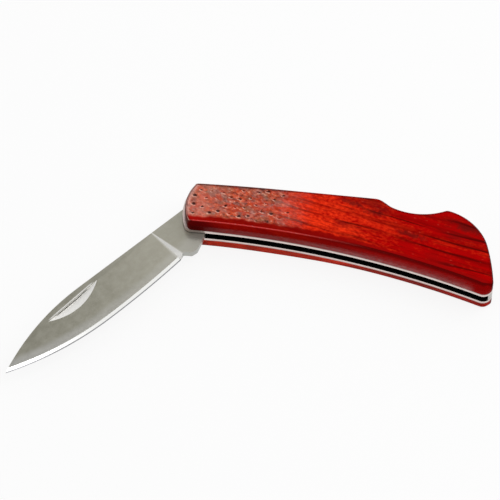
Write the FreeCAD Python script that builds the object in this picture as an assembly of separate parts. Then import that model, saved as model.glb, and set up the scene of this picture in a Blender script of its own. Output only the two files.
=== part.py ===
import FreeCAD, Part
import math
import os

V = FreeCAD.Vector

# Folding pocket knife with a lock bar in the back, lying on its back scale, blade half open.
# X runs from the pivot to the butt, Y from the pivot to the spine, Z from the back scale to the front scale.
# The origin is on the pivot axis, on the outer face of the back scale. All sizes are in millimetres.

# Handle outline
handle_length = 101.4
front_reach = 10.75
spine_height = 7.25
belly_depth = 9.45
butt_drop = 24.0
butt_taper = 3.4
butt_lean = 3.4
thumb_notch_depth = 4.15
front_drop = 0.6
front_inset = 0.75

# Layers through the thickness
blade_thickness = 2.4
washer_thickness = 0.2
liner_thickness = 1.4
scale_thickness = 3.8
scale_bevel = 1.6
ridge_round = 0.7

# Blade
blade_reach = 88.6
blade_belly = 7.5
tip_drop = 0.9
kick_reach = 16.0
kick_drop = 7.0
open_turn = 47.5
closed_turn = 168.0
grind_height = 12.8
edge_bevel = 1.3
edge_half = 0.03
bevel_half = 0.4
plunge_run = 1.8
nick_length = 21.8
nick_width = 3.1
nick_depth = 0.8

# Pivot and lock
pivot_diameter = 4.0
pivot_head = 5.6
washer_diameter = 9.2
tang_radius = 5.2
lock_depth = 1.75
hook_length = 3.2
lock_pin_diameter = 2.5
bar_height = 3.4
bar_round = 3.0
pad_rise = 2.2
pad_round = 4.0
arm_bend = 2.0
rivet_diameter = 2.0
spring_thickness = 0.9
butt_wall = 1.4

# Clearances
pivot_fit = 0.03
washer_gap = 0.02
hook_gap = 0.1
ride_gap = 0.05
bar_clearance = 0.35
spring_gap = 0.02

# Layer levels, from the outer face of the back scale up
slot = blade_thickness + 2 * washer_thickness + 2 * washer_gap
back_liner_level = scale_thickness
slot_level = back_liner_level + liner_thickness
front_liner_level = slot_level + slot
front_scale_level = front_liner_level + liner_thickness
top_level = front_scale_level + scale_thickness
middle = top_level / 2

# Handle stations along X
butt_x = handle_length - front_reach
spine_start = 0.22 * butt_x
notch_front = 0.57 * butt_x
notch_foot = 0.612 * butt_x
notch_low = 0.706 * butt_x
hump_x = 0.81 * butt_x
notch_y = spine_height - thumb_notch_depth
hump_y = spine_height - 0.446 * thumb_notch_depth
butt_shoulder = 0.264 * butt_drop

# Lock stations in the handle, with the bar dropped into its notch
lock_pin_x = 0.425 * butt_x
lock_pin_y = spine_height - 3.1
hook_front = -0.25 * hook_length
hook_back = hook_front + hook_length
hook_bottom = tang_radius - lock_depth
bar_under = spine_height - bar_height
arm_under = lock_pin_y - lock_pin_diameter / 2 - 0.95
bar_end = hump_x - 1.0
spacer_front = hump_x - 0.2

# Angle by which the bar is lifted while its hook rides on the round of the tang
bar_reach = math.hypot(lock_pin_x, lock_pin_y)
lifted = tang_radius + ride_gap + lock_pin_y - hook_bottom
ride_turn = math.degrees(math.asin(lifted / bar_reach) - math.atan2(lock_pin_y, lock_pin_x))

os.makedirs("parts", exist_ok=True)


# Drawing helpers

def line(a, b):
    return Part.makeLine(V(a[0], a[1], 0), V(b[0], b[1], 0))


def arc(a, through, b):
    return Part.Arc(V(a[0], a[1], 0), V(through[0], through[1], 0), V(b[0], b[1], 0)).toShape()


def polar(radius, degrees):
    return (radius * math.cos(math.radians(degrees)), radius * math.sin(math.radians(degrees)))


def round_arc(radius, start, end):
    return arc(polar(radius, start), polar(radius, (start + end) / 2), polar(radius, end))


def level_radius(level, other):
    across = other[0] - level[0]
    rise = other[1] - level[1]
    return (across ** 2 + rise ** 2) / (2 * rise)


def end_heading(a, heading, b):
    # Direction in which the arc that leaves the first point along a heading reaches the second
    across = b[0] - a[0]
    rise = b[1] - a[1]
    share = 2 * (across * heading[0] + rise * heading[1]) / (across ** 2 + rise ** 2)
    return (share * across - heading[0], share * rise - heading[1])


def tangent_arc(a, heading, b):
    # Arc that leaves the first point along a heading and ends at the second
    across = b[0] - a[0]
    rise = b[1] - a[1]
    turn = math.atan2(heading[1], heading[0]) - math.atan2(rise, across)
    bow = math.tan(turn / 2) / 2
    return arc(a, ((a[0] + b[0]) / 2 - bow * rise, (a[1] + b[1]) / 2 + bow * across), b)


def level_arc(level, other):
    # Arc that leaves the first point parallel to X and ends at the second
    return tangent_arc(level, (other[0] - level[0], 0), other)


def prism(edges, bottom, height):
    face = Part.Face(Part.Wire(Part.__sortEdges__(edges)))
    solid = face.extrude(V(0, 0, height))
    solid.translate(V(0, 0, bottom))
    return solid


def outline(points):
    return [line(a, b) for a, b in zip(points, points[1:] + points[:1])]


def round_corners(edges, corners):
    # Puts an arc of the given radius in each named corner of a flat outline
    for x, y, radius in corners:
        corner = V(x, y, 0)
        meeting = [e for e in edges if min(v.Point.distanceToPoint(corner) for v in e.Vertexes) < 0.001]
        rounding = Part.ChFi2d.FilletAlgo(Part.Wire(Part.__sortEdges__(meeting)), Part.Plane())
        rounding.perform(radius)
        edges = [e for e in edges if e not in meeting] + list(rounding.result(corner))
    return edges


def drill(x, y, diameter, bottom, height):
    return Part.makeCylinder(diameter / 2, height, V(x, y, bottom))


# Outline shared by liners, scales and spacer

def handle_blank(bottom, height, inset):
    front_top = (-0.74 * front_reach + inset, spine_height - front_drop)
    front_mid = (-front_reach + inset, -0.1 * belly_depth)
    front_low = (-0.83 * front_reach + inset, -belly_depth)
    spine_front = (spine_start, spine_height)
    notch_top = (notch_front, spine_height)
    notch_side = (notch_foot, notch_y + 0.4 * thumb_notch_depth)
    hump = (hump_x, hump_y)
    shoulder = (butt_x - butt_taper, -butt_shoulder)
    corner = (butt_x, -butt_drop)
    butt_way = (-math.tan(math.radians(butt_lean)), 1)
    shoulder_way = end_heading(corner, butt_way, shoulder)
    belly_mid = (0.4865 * butt_x, -belly_depth - 0.24 * (butt_drop - belly_depth))
    edges = [
        level_arc(spine_front, front_top),
        line(spine_front, notch_top),
        line(notch_top, notch_side),
        arc(notch_side, (notch_low, notch_y), hump),
        tangent_arc(shoulder, shoulder_way, hump),
        tangent_arc(corner, butt_way, shoulder),
        arc(corner, belly_mid, front_low),
        arc(front_low, front_mid, front_top),
    ]
    corners = [
        front_top + (2.0,),
        notch_top + (5.0,),
        notch_side + (4.0,),
        hump + (2.2,),
        corner + (3.0,),
        front_low + (2.0,),
    ]
    return prism(round_corners(edges, corners), bottom, height)


# Scales, bevelled all round the outer face

def scale(bottom, outer):
    solid = handle_blank(bottom, scale_thickness, front_inset)
    edges = [edge for edge in solid.Edges if all(abs(v.Z - outer) < 0.001 for v in edge.Vertexes)]
    solid = solid.makeChamfer(scale_bevel, edges)
    ridge = [edge for edge in solid.Edges if all(abs(v.Z - outer) < 0.001 for v in edge.Vertexes)]
    return solid.makeFillet(ridge_round, ridge)


front_scale = scale(front_scale_level, top_level)
back_scale = scale(0, 0)

# Spacer between the liners at the butt, with a wall round the end of the blade slot

spring_top = -0.25 * spine_height
spring_root = 0.895 * butt_x
rivet_spots = [(0.878 * butt_x, spring_top + 0.95 * rivet_diameter), (0.922 * butt_x, -0.27 * butt_drop)]
spacer = handle_blank(slot_level, slot, 0)
far = handle_length
ahead = Part.makeBox(far, 2 * far, slot, V(spacer_front - far, -far, slot_level))
well_corner = (0.937 * butt_x, -0.5 * butt_drop)
wall_foot = (butt_x - butt_wall, -butt_drop)
wall_head = (wall_foot[0] - 0.3 * butt_taper, -0.62 * butt_drop)
well_edges = outline([
    (spacer_front - 1, -0.31 * butt_drop),
    well_corner,
    wall_head,
    wall_foot,
    (wall_foot[0], -2 * butt_drop),
    (spacer_front - 1, -2 * butt_drop),
])
well = prism(round_corners(well_edges, [well_corner + (3.0,), wall_head + (3.0,)]), slot_level, slot)
seat = Part.makeBox(
    spring_root - spacer_front, spring_thickness, slot,
    V(spacer_front, spring_top - spring_thickness, slot_level),
)
spacer = spacer.cut(ahead).cut(well).cut(seat)

# Liners with the pivot countersunk from outside

head_depth = (pivot_head - pivot_diameter) / 2


def pivot_cone(outer):
    # Narrows from an outer face of the liners towards the blade
    inward = V(0, 0, 1 if outer < middle else -1)
    return Part.makeCone(pivot_head / 2, pivot_diameter / 2, head_depth, V(0, 0, outer), inward)


def liner(bottom, outer):
    solid = handle_blank(bottom, liner_thickness, 0)
    solid = solid.cut(drill(0, 0, pivot_diameter, bottom, liner_thickness))
    solid = solid.cut(drill(lock_pin_x, lock_pin_y, lock_pin_diameter, bottom, liner_thickness))
    for x, y in rivet_spots:
        solid = solid.cut(drill(x, y, rivet_diameter, bottom, liner_thickness))
    return solid.cut(pivot_cone(outer))


back_liner = liner(back_liner_level, back_liner_level)
front_liner = liner(front_liner_level, front_scale_level)

# Pins and rivets, flush with the outer faces of the liners

pin_length = slot + 2 * liner_thickness
pivot_pin = drill(0, 0, pivot_diameter, back_liner_level, pin_length)
pivot_pin = pivot_pin.fuse(pivot_cone(back_liner_level))
pivot_pin = pivot_pin.fuse(pivot_cone(front_scale_level)).removeSplitter()
lock_bar_pin = drill(lock_pin_x, lock_pin_y, lock_pin_diameter, back_liner_level, pin_length)
rivets = []
for x, y in rivet_spots:
    rivets.append(drill(x, y, rivet_diameter, back_liner_level, pin_length))
    spacer = spacer.cut(drill(x, y, rivet_diameter, slot_level, slot))

# Pivot washers, one on each liner

def washer(bottom):
    ring = drill(0, 0, washer_diameter, bottom, washer_thickness)
    return ring.cut(drill(0, 0, pivot_diameter + 2 * pivot_fit, bottom, washer_thickness))


back_washer = washer(slot_level)
front_washer = washer(front_liner_level - washer_thickness)

# Lock bar, drawn with its hook down in the notch and then lifted to ride on the tang

bar_level = middle - blade_thickness / 2
pad_front = notch_foot + 0.6
pad_y = notch_y + pad_rise
collar = tang_radius + bar_clearance
collar_top = math.sqrt(collar ** 2 - hook_back ** 2)
collar_end = math.sqrt(collar ** 2 - bar_under ** 2)
collar_mid = polar(collar, math.degrees(math.atan2(collar_top + bar_under, hook_back + collar_end)))
bar_edges = [
    line((hook_front, hook_bottom), (hook_front, spine_height)),
    line((hook_front, spine_height), (notch_front + 0.8, spine_height)),
    line((notch_front + 0.8, spine_height), (pad_front, pad_y)),
    line((pad_front, pad_y), (bar_end, pad_y - 0.4)),
    line((bar_end, pad_y - 0.4), (bar_end, arm_under - 0.4)),
    line((bar_end, arm_under - 0.4), (notch_foot, arm_under)),
    line((notch_foot, arm_under), (lock_pin_x - lock_pin_diameter, arm_under)),
    line((lock_pin_x - lock_pin_diameter, arm_under), (lock_pin_x - 2.4 * lock_pin_diameter, bar_under)),
    line((lock_pin_x - 2.4 * lock_pin_diameter, bar_under), (collar_end, bar_under)),
    arc((collar_end, bar_under), collar_mid, (hook_back, collar_top)),
    line((hook_back, collar_top), (hook_back, hook_bottom)),
    line((hook_back, hook_bottom), (hook_front, hook_bottom)),
]
bar_edges = round_corners(bar_edges, [
    (notch_front + 0.8, spine_height, bar_round),
    (pad_front, pad_y, pad_round),
    (bar_end, pad_y - 0.4, 0.8),
    (bar_end, arm_under - 0.4, 0.6),
    (lock_pin_x - lock_pin_diameter, arm_under, arm_bend),
    (lock_pin_x - 2.4 * lock_pin_diameter, bar_under, arm_bend),
    (hook_front, hook_bottom, 0.2),
])
lock_bar = prism(bar_edges, bar_level, blade_thickness)
lock_hole = lock_pin_diameter + 2 * pivot_fit
lock_bar = lock_bar.cut(drill(lock_pin_x, lock_pin_y, lock_hole, bar_level, blade_thickness))
lock_bar.rotate(V(lock_pin_x, lock_pin_y, 0), V(0, 0, 1), -ride_turn)

# Leaf spring, seated in the spacer and bowed up under the arm of the bar

turn = math.radians(ride_turn)
press_x = lock_pin_x + 0.11 * butt_x
press_y = lock_pin_y - (lock_pin_y - arm_under) / math.cos(turn) - (press_x - lock_pin_x) * math.tan(turn)
tip_y = press_y - spring_gap
start = (spacer_front - 0.5, spring_top)
bow = level_arc(start, (press_x, tip_y))
bow_under = level_arc((start[0], start[1] - spring_thickness), (press_x, tip_y - spring_thickness))
lock_spring = prism([
    bow,
    line((press_x, tip_y), (press_x, tip_y - spring_thickness)),
    bow_under,
    line((start[0], start[1] - spring_thickness), (spring_root, spring_top - spring_thickness)),
    line((spring_root, spring_top - spring_thickness), (spring_root, spring_top)),
    line((spring_root, spring_top), start),
], bar_level, blade_thickness)

# Blade, drawn open with its middle plane at zero

tip = (-blade_reach, -tip_drop)
spine_break = (-0.587 * blade_reach, spine_height)
edge_low = (-0.581 * blade_reach, -blade_belly)
heel = (-1.306 * kick_reach, -0.813 * blade_belly)
choil = (-1.154 * kick_reach, -0.64 * blade_belly)
kick_back = (-math.sqrt(kick_reach ** 2 - kick_drop ** 2), -kick_drop)
kick_front = (kick_back[0] - 2.1, -kick_drop + 0.2)
ramp_turn = 180 + math.degrees(math.atan2(kick_drop, -kick_back[0]))
ramp_foot = polar(tang_radius, ramp_turn)
rest_flat = hook_bottom - ride_gap
flat_half = math.degrees(math.acos(rest_flat / tang_radius))
flat_mid = 360 + 90 - closed_turn
floor = hook_bottom - 0.05
shoulder_x = hook_front - hook_gap
notch_wall = hook_back + hook_gap
notch_rim = 360 + math.degrees(math.acos(notch_wall / tang_radius))
blade_edges = [
    line((shoulder_x, spine_height), spine_break),
    level_arc(spine_break, tip),
    level_arc(edge_low, tip),
    level_arc(edge_low, heel),
    line(heel, choil),
    line(choil, kick_front),
    line(kick_front, kick_back),
    line(kick_back, ramp_foot),
    round_arc(tang_radius, ramp_turn, flat_mid - flat_half),
    line(polar(tang_radius, flat_mid - flat_half), polar(tang_radius, flat_mid + flat_half)),
    round_arc(tang_radius, flat_mid + flat_half, notch_rim),
    line(polar(tang_radius, notch_rim), (notch_wall, floor)),
    line((notch_wall, floor), (shoulder_x, floor)),
    line((shoulder_x, floor), (shoulder_x, spine_height)),
]
half_blade = blade_thickness / 2
blade_edges = round_corners(blade_edges, [
    heel + (0.8,),
    choil + (0.5,),
    kick_front + (0.7,),
    kick_back + (1.2,),
    ramp_foot + (1.0,),
])
blade = prism(blade_edges, -half_blade, blade_thickness)
blade = blade.cut(drill(0, 0, pivot_diameter + 2 * pivot_fit, -half_blade, blade_thickness))

# Grind: a wheel run along the edge, so that the blade thins evenly from the spine to the edge bevel

slope = (half_blade - bevel_half) / (grind_height - edge_bevel)
bevel_slope = (bevel_half - edge_half) / edge_bevel
wheel_top = half_blade + 2
over = grind_height + 6
section = [
    (-0.8, edge_half - 0.8 * bevel_slope),
    (edge_bevel, bevel_half),
    (over, bevel_half + (over - edge_bevel) * slope),
    (over, wheel_top),
    (-0.8, wheel_top),
]
corners = [V(edge_low[0], edge_low[1] + inward, height) for inward, height in section]
wheel_face = Part.Face(Part.makePolygon(corners + corners[:1]))


def grind(end, sweep):
    centre = V(edge_low[0], edge_low[1] + level_radius(edge_low, end), 0)
    return wheel_face.revolve(centre, V(0, 0, 1), sweep)


heel_radius = level_radius(edge_low, heel)
tip_radius = level_radius(edge_low, tip)
heel_sweep = math.degrees(math.asin((choil[0] + 4 - edge_low[0]) / heel_radius))
tip_sweep = math.degrees(math.asin((blade_reach + edge_low[0] + 3) / tip_radius))
heel_wheel = grind(heel, heel_sweep)
tip_wheel = grind(tip, -tip_sweep)

# Plunge: the ramp where the grind runs out in front of the choil

plunge_low = (choil[0] - 0.6, choil[1])
plunge_high = (plunge_low[0] - 2.1, spine_height - 1.2)
lean = math.degrees(math.atan2(plunge_low[0] - plunge_high[0], plunge_high[1] - plunge_low[1]))
ramp = Part.Face(Part.makePolygon([
    V(-(half_blade + 1) * plunge_run, 0, -1),
    V(blade_reach, 0, -1),
    V(blade_reach, 0, wheel_top + 1),
    V((wheel_top + 1 - half_blade) * plunge_run, 0, wheel_top + 1),
    V(-(half_blade + 1) * plunge_run, 0, -1),
]))
ricasso = ramp.extrude(V(0, 2 * blade_reach, 0))
ricasso.translate(V(0, -blade_reach, 0))
ricasso.rotate(V(0, 0, 0), V(0, 0, 1), lean)
ricasso.translate(V(plunge_low[0], plunge_low[1], 0))
heel_wheel = heel_wheel.cut(ricasso)
for wheel in (heel_wheel, tip_wheel):
    blade = blade.cut(wheel)
    blade = blade.cut(wheel.mirror(V(0, 0, 0), V(0, 0, 1)))

# Nail nick: a shallow crescent in the front face, upright along its spine side

nick_middle = (-0.643 * blade_reach, spine_height - 2.6)
nick_lean = 4.0
wheel_radius = ((nick_length / 2) ** 2 + nick_depth ** 2) / (2 * nick_depth)
nick_inset = edge_low[1] + grind_height - nick_middle[1]
nick_face = half_blade - max(nick_inset, 0) * slope
nick_rise = nick_depth / nick_width - slope
nick = Part.makeCone(
    wheel_radius, wheel_radius - 1.5 * nick_width * nick_rise, 1.5 * nick_width,
    V(0, 0, nick_face - nick_depth + wheel_radius), V(0, -1, 0),
)
nick.rotate(V(0, 0, 0), V(0, 0, 1), nick_lean)
nick.translate(V(nick_middle[0], nick_middle[1], 0))
blade = blade.cut(nick)

blade.translate(V(0, 0, middle))
blade.rotate(V(0, 0, 0), V(0, 0, 1), open_turn)

# Named pieces

pieces = {
    "blade": blade,
    "pivot_pin": pivot_pin,
    "front_pivot_washer": front_washer,
    "back_pivot_washer": back_washer,
    "front_liner": front_liner,
    "back_liner": back_liner,
    "front_scale": front_scale,
    "back_scale": back_scale,
    "lock_bar": lock_bar,
    "lock_bar_pin": lock_bar_pin,
    "lock_spring": lock_spring,
    "back_spacer": spacer,
    "upper_spacer_rivet": rivets[0],
    "lower_spacer_rivet": rivets[1],
}
for name, shape in pieces.items():
    shape.exportStep("parts/" + name + ".step")
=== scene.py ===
import math

import bmesh
import bpy
import numpy as np
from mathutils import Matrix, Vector


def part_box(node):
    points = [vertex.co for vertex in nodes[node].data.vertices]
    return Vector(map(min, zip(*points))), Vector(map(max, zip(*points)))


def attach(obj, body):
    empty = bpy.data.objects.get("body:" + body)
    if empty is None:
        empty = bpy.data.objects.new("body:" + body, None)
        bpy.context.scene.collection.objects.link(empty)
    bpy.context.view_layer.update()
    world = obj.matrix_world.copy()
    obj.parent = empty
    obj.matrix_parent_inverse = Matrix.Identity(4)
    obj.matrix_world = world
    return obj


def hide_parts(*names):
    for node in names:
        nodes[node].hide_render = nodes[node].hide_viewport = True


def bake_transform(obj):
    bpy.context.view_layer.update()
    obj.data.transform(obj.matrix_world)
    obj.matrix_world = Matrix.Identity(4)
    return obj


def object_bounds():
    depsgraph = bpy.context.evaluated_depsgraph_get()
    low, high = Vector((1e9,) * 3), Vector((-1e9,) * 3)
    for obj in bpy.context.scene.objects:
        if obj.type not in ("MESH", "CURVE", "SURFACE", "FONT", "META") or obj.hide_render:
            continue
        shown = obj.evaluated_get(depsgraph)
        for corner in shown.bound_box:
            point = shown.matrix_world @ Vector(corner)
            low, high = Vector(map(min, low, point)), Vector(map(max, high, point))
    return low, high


# Looks of the folding pocket knife: lacquered wood scales, ground blade, bright liners.
# Metres, in the frame of the solids: X runs to the butt, Y to the spine, Z up through the layers.

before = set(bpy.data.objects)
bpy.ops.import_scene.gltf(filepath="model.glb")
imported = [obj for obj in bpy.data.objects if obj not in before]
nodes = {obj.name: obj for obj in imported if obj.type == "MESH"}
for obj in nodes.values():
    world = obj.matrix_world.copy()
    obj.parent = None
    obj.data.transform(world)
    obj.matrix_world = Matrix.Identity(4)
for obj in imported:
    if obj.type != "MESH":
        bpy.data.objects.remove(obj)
cad_low, cad_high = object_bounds()
MM = 0.001

# Distance at which points count as one, and Z of a normal below which a face is upright
TOUCH = 0.001 * MM
UPRIGHT = 0.1

# Scale: rim profile of each side, where a pair is front and rear
BELLY_INSET = (1.65 * MM, 2.0 * MM)
BELLY_WALL = (2.3 * MM, 1.3 * MM)
FAR_BELLY_WALL = (3.2 * MM, 1.9 * MM)
BELLY_TILT = (math.radians(30), math.radians(6))
BELLY_CROWN = (0.05 * MM, 0.03 * MM)
BELLY_FADE = (16 * MM, 52 * MM)
BELLY_SWELL = 0.35
SPINE_INSET = 0.92 * MM
SPINE_WALL = 2.2 * MM
SPINE_TILT = math.radians(52)
END_INSET = 0.55 * MM
END_WALL = 2.8 * MM
END_TILT = math.radians(45)
RIM_SWELL = 0.2
RIM_REACH = 0.45
RIM_STEPS = (0, 0.1, 0.24, 0.4, 0.56, 0.72, 0.84, 0.93, 1)
SIDE_TURN = (0.25, 0.8)
CROWN_WIDTH = 1.6 * MM
RIDGE_LAND = 0.07 * MM
CORNER_REACH = 1.25 * MM
CORNER_PULL = 3.0
CORNER_POINTS = 13

# Scale: marks that the wood's colour and gloss follow
# Painted highlight along the front edge of the stippled face: its width
EDGE_GLARE_WIDTH = 1.5 * MM
BAND_WIDTH = (2.0 * MM, 1.1 * MM)
BAND_FADE = (35 * MM, 60 * MM)
BAND_WOBBLE = 0.18
BAND_WAVES = (0.8 * MM, 1.9 * MM)
BAND_FILM = (0.6, 1.3)
BAND_SHADE = (1.2, 0.8)
# Painted shade on the front of the near scale's belly wall: share and fade along X
FRONT_WALL_SHADE = 0.95
FRONT_WALL_SHADE_FADE = (5 * MM, -6 * MM)
WALL_POLISH = (0.26, 0.62)
RIDGE_POLISH = 0.3
GLOSS_END = (85 * MM, 82 * MM)
# Painted shade line along the spine and ends: its share, fade along X and width
SHADE_LINE = (0.85, 0.5)
SHADE_LINE_FADE = (16 * MM, 34 * MM)
SHADE_LINE_WIDTH = (0.58 * MM, 0.2 * MM)
# Painted shade line where the rear belly turns into its wall: share and width
TURN_SHADE = 0.8
TURN_SHADE_WIDTH = 0.36 * MM
# Far scale: painted light on its belly edge, its fade along X and how much of it is lost
FAR_EDGE_LIGHT_FADE = (10 * MM, 75 * MM)
FAR_EDGE_LIGHT_LOSS = 0.6
# Share of coat gloss, painted shade and painted highlight that each scale gets; the remainder gives
# painted light on the far scale's belly edge
NEAR_GLOSS_AND_SHADE = 1.0
FAR_GLOSS_AND_SHADE = 0.1

# Scale: shares of the way up the rim between which its marks come and go
RIDGE_RISE = (0.84, 0.93)
TURN_SHADE_RISE = (0.55, 0.85)
EDGE_GLARE_RISE = (0.65, 0.95)
RIM_SHADE_RISE = (0.65, 1)

# Scale: grid of the outer face
FINE_STEP = 0.145 * MM
COARSE_STEP = 0.5 * MM
ROWS = 112
BUTT_LEAN = 0.6
END_BLEND = 0.16
LEAST_STRIDE = 0.2
CLOSE_UP_ROUNDS = 600
CORNER_ROUNDS = 8
EVEN_ROUNDS = 160
SHARP_EDGE = math.radians(50)

# Stippled front third of each scale
STIPPLE_END = 26 * MM
STIPPLE_FADE = 12 * MM
STIPPLE_MARGIN = 0.4 * MM
PIT_SPACING = 2.9 * MM
PIT_RADIUS = (0.42 * MM, 0.98 * MM)
PIT_DEPTH = (0.14 * MM, 0.5 * MM)
PIT_STRETCH = 1.5
PIT_BOWL = 1.5
PIT_WOBBLE = 0.75 * MM
PIT_WOBBLE_WAVES = 1600.0
SPOT_DENSITY = 2.0e6
NEAR_PITS_SEED = 7
FAR_PITS_SEED = 19
RADIUS_SEED = 3
DEPTH_SEED = 5
# Painted highlight on the lower side of each pit: its way, where it starts and how sharp it is
PIT_GLINT_WAY = (-0.45, -0.9, 0.0)
PIT_GLINT_START = 0.55
PIT_GLINT_SHARPNESS = 2.2e3
DIMPLE_SIZE = 1.7 * MM
DIMPLE_DEPTH = 0.24 * MM
DIMPLE_SOFTNESS = 0.25

# Wood: turn of the grain, and the waves of its patterns per metre, along and across it
GRAIN_TURN = math.radians(13)
GRAIN_WAVES = {
    "band": (22, 260),
    "fibre": (160, 1500),
    "grit": (800, 1300),
    "growth": (16, 440),
    "smudge": (45, 150),
    "gaps": (40, 160),
    "pores": (420, 1100),
    "film": (130, 330),
    "veil": (300, 480),
    "speckle": (620, 1000),
}
PATCH_WAVES = 150
RAGGED_WAVES = 700
GLOW_FADE = (72 * MM, 34 * MM)
# Painted shade on the belly: spans of X over which its tone changes at the front and to the rear
FRONT_BELLY_SHADE = (-9 * MM, 2 * MM)
REAR_BELLY_SHADE = (20 * MM, 60 * MM)
# Painted sheen, paler towards the front of the stippled face: span along X
PALE_FRONT_SHEEN = (8 * MM, -7 * MM)
FIBRE_DEPTH = 0.02 * MM

# Wood: dark smudges along the grain as place, half length and half width
SMUDGES = (
    (43.5 * MM, 3.9 * MM, 5.0 * MM, 1.1 * MM),
    (50.5 * MM, 1.3 * MM, 5.0 * MM, 1.5 * MM),
    (62.5 * MM, -5.6 * MM, 6.5 * MM, 1.3 * MM),
    (80.5 * MM, -1.4 * MM, 6.0 * MM, 2.2 * MM),
)

WOOD_TONES = {
    "deep": (0.42, 0.0006, 0.0008, 1),
    "bright": (0.98, 0.042, 0.008, 1),
    "fibre": (0.15, 0.0010, 0.0010, 1),
    "growth line": (0.17, 0.0004, 0.0004, 1),
    "smudge": (0.10, 0.006, 0.005, 1),
    "streak": (0.07, 0.0008, 0.0008, 1),
    # painted highlight: pale pores catching light
    "pore_glint": (0.90, 0.12, 0.07, 1),
    # painted shade on the near scale's belly band and wall, at the front, middle and rear
    "front belly shade": (0.40, 0.004, 0.003, 1),
    "belly shade": (0.21, 0.0005, 0.0004, 1),
    "rear belly shade": (0.32, 0.002, 0.002, 1),
    # painted light on the far scale's belly edge
    "far edge light": (0.95, 0.06, 0.018, 1),
    "worn red": (0.48, 0.047, 0.017, 1),
    "worn brown": (0.26, 0.092, 0.046, 1),
    "worn orange": (0.64, 0.075, 0.020, 1),
    # worn lacquer tones; the grey, pink and pale front ones are also painted sheen
    "worn grey sheen": (0.25, 0.125, 0.10, 1),
    "worn pink sheen": (0.66, 0.22, 0.17, 1),
    # painted shade and painted glint specks of the hammered face
    "shade speck": (0.12, 0.017, 0.008, 1),
    "glint speck": (0.76, 0.32, 0.20, 1),
    "pale front sheen": (0.72, 0.27, 0.19, 1),
    # painted highlight along the front edge
    "edge_glare": (0.80, 0.40, 0.33, 1),
    # painted highlight on the lower side of each pit
    "pit lip": (0.86, 0.46, 0.36, 1),
    # painted shade in the pits
    "pit": (0.04, 0.005, 0.003, 1),
    # painted shade for the dark lines along the rim
    "rim shade line": (0.05, 0.001, 0.001, 1),
    # painted highlight along the ridge
    "ridge": (0.62, 0.045, 0.04, 1),
}

# Blade, drawn open and turned about the pivot
BLADE_TURN = math.radians(47.5)
EDGE_LOW = (-51.48 * MM, -7.5 * MM)
TIP = (-88.6 * MM, -0.9 * MM)
HEEL = (-20.9 * MM, -6.1 * MM)
HEEL_MARGIN = 0.4 * MM
KEEN_WIDTH = (0.42 * MM, 0.22 * MM)
# Painted highlight band along the edge: inset where it begins and where it is full
HIGHLIGHT_BAND = (4.9 * MM, 2.3 * MM)
BEVEL_FADE = (-74 * MM, -52 * MM)
# Painted light on the blade towards the pivot: span along X
PIVOT_LIGHT_FADE = (-60 * MM, -8 * MM)
NICK_MIDDLE = (-56.97 * MM, 4.65 * MM)
NICK_SLOPE = 0.07
NICK_REACH = 10.2 * MM
NICK_EDGE_GAP = 3 * MM
NICK_WALL = 0.6 * MM
# Painted shade in the crease along the nick: width over which it fades
CREASE_SHADE_WIDTH = (0.28 * MM, 0.14 * MM)
GLINT_LOW = (0.1 * MM, 0.25 * MM)
GLINT_HIGH = (0.7 * MM, 0.5 * MM)
PLUNGE_LOW = (-19.06 * MM, -4.8 * MM)
PLUNGE_HIGH = (-21.16 * MM, 6.05 * MM)
PLUNGE_GLOW = (2.7 * MM, 0.7 * MM)
MOTTLE_WAVES = (300, 420, 420)
BRUSH_WAVES = (2600, 260, 260)
MARK_DEPTH = 0.004 * MM

# Blade: Z of a normal below which a face is tilted, steep or a wall, and how rough the faces are
TILTED_FACE = 0.985
STEEP_FACE = 0.94
WALL_FACE = 0.3
SATIN_ROUGHNESS = 0.38
SATIN_SPREAD = 0.16
BEVEL_ROUGHNESS = 0.17
STEEP_ROUGHNESS = 0.34
NICK_ROUGHNESS = 0.45

BLADE_TONES = {
    "dull dark": (0.19, 0.18, 0.13, 1),
    "dull pale": (0.43, 0.42, 0.36, 1),
    "brushed": (0.40, 0.39, 0.34, 1),
    "near pivot light": (0.52, 0.50, 0.43, 1),
    "highlight band": (0.66, 0.66, 0.66, 1),
    "plunge": (0.70, 0.69, 0.66, 1),
    "glint": (0.86, 0.85, 0.82, 1),
    "bevel at tip": (0.58, 0.58, 0.57, 1),
    "bevel": (0.43, 0.43, 0.42, 1),
    # painted highlight: ground steel of the nick painted near white
    "nick floor highlight": (0.97, 0.96, 0.93, 1),
    "steep": (0.78, 0.77, 0.74, 1),
    "wall": (0.42, 0.42, 0.39, 1),
    "nick wall highlight": (0.8, 0.79, 0.76, 1),
    "crease_shade": (0.07, 0.065, 0.06, 1),
    "keen": (0.13, 0.13, 0.135, 1),
}

# Other metals: pale tone, dark tone, roughness and waves of the marks per metre
LINER_STEEL = ((0.86, 0.74, 0.70, 1), (0.66, 0.56, 0.52, 1), 0.4, (300, 3000, 300))
LOCK_STEEL = ((0.60, 0.59, 0.56, 1), (0.36, 0.35, 0.33, 1), 0.3, (200, 2400, 2400))
SPRING_STEEL = ((0.30, 0.31, 0.34, 1), (0.16, 0.17, 0.2, 1), 0.32, (150, 2000, 2000))
PIN_STEEL = ((0.70, 0.69, 0.66, 1), (0.46, 0.45, 0.43, 1), 0.2, (900, 900, 4000))
WASHER_BRONZE = ((0.72, 0.47, 0.20, 1), (0.45, 0.26, 0.09, 1), 0.28, (1500, 1500, 600))
WEAR_WAVES = 300

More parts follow.
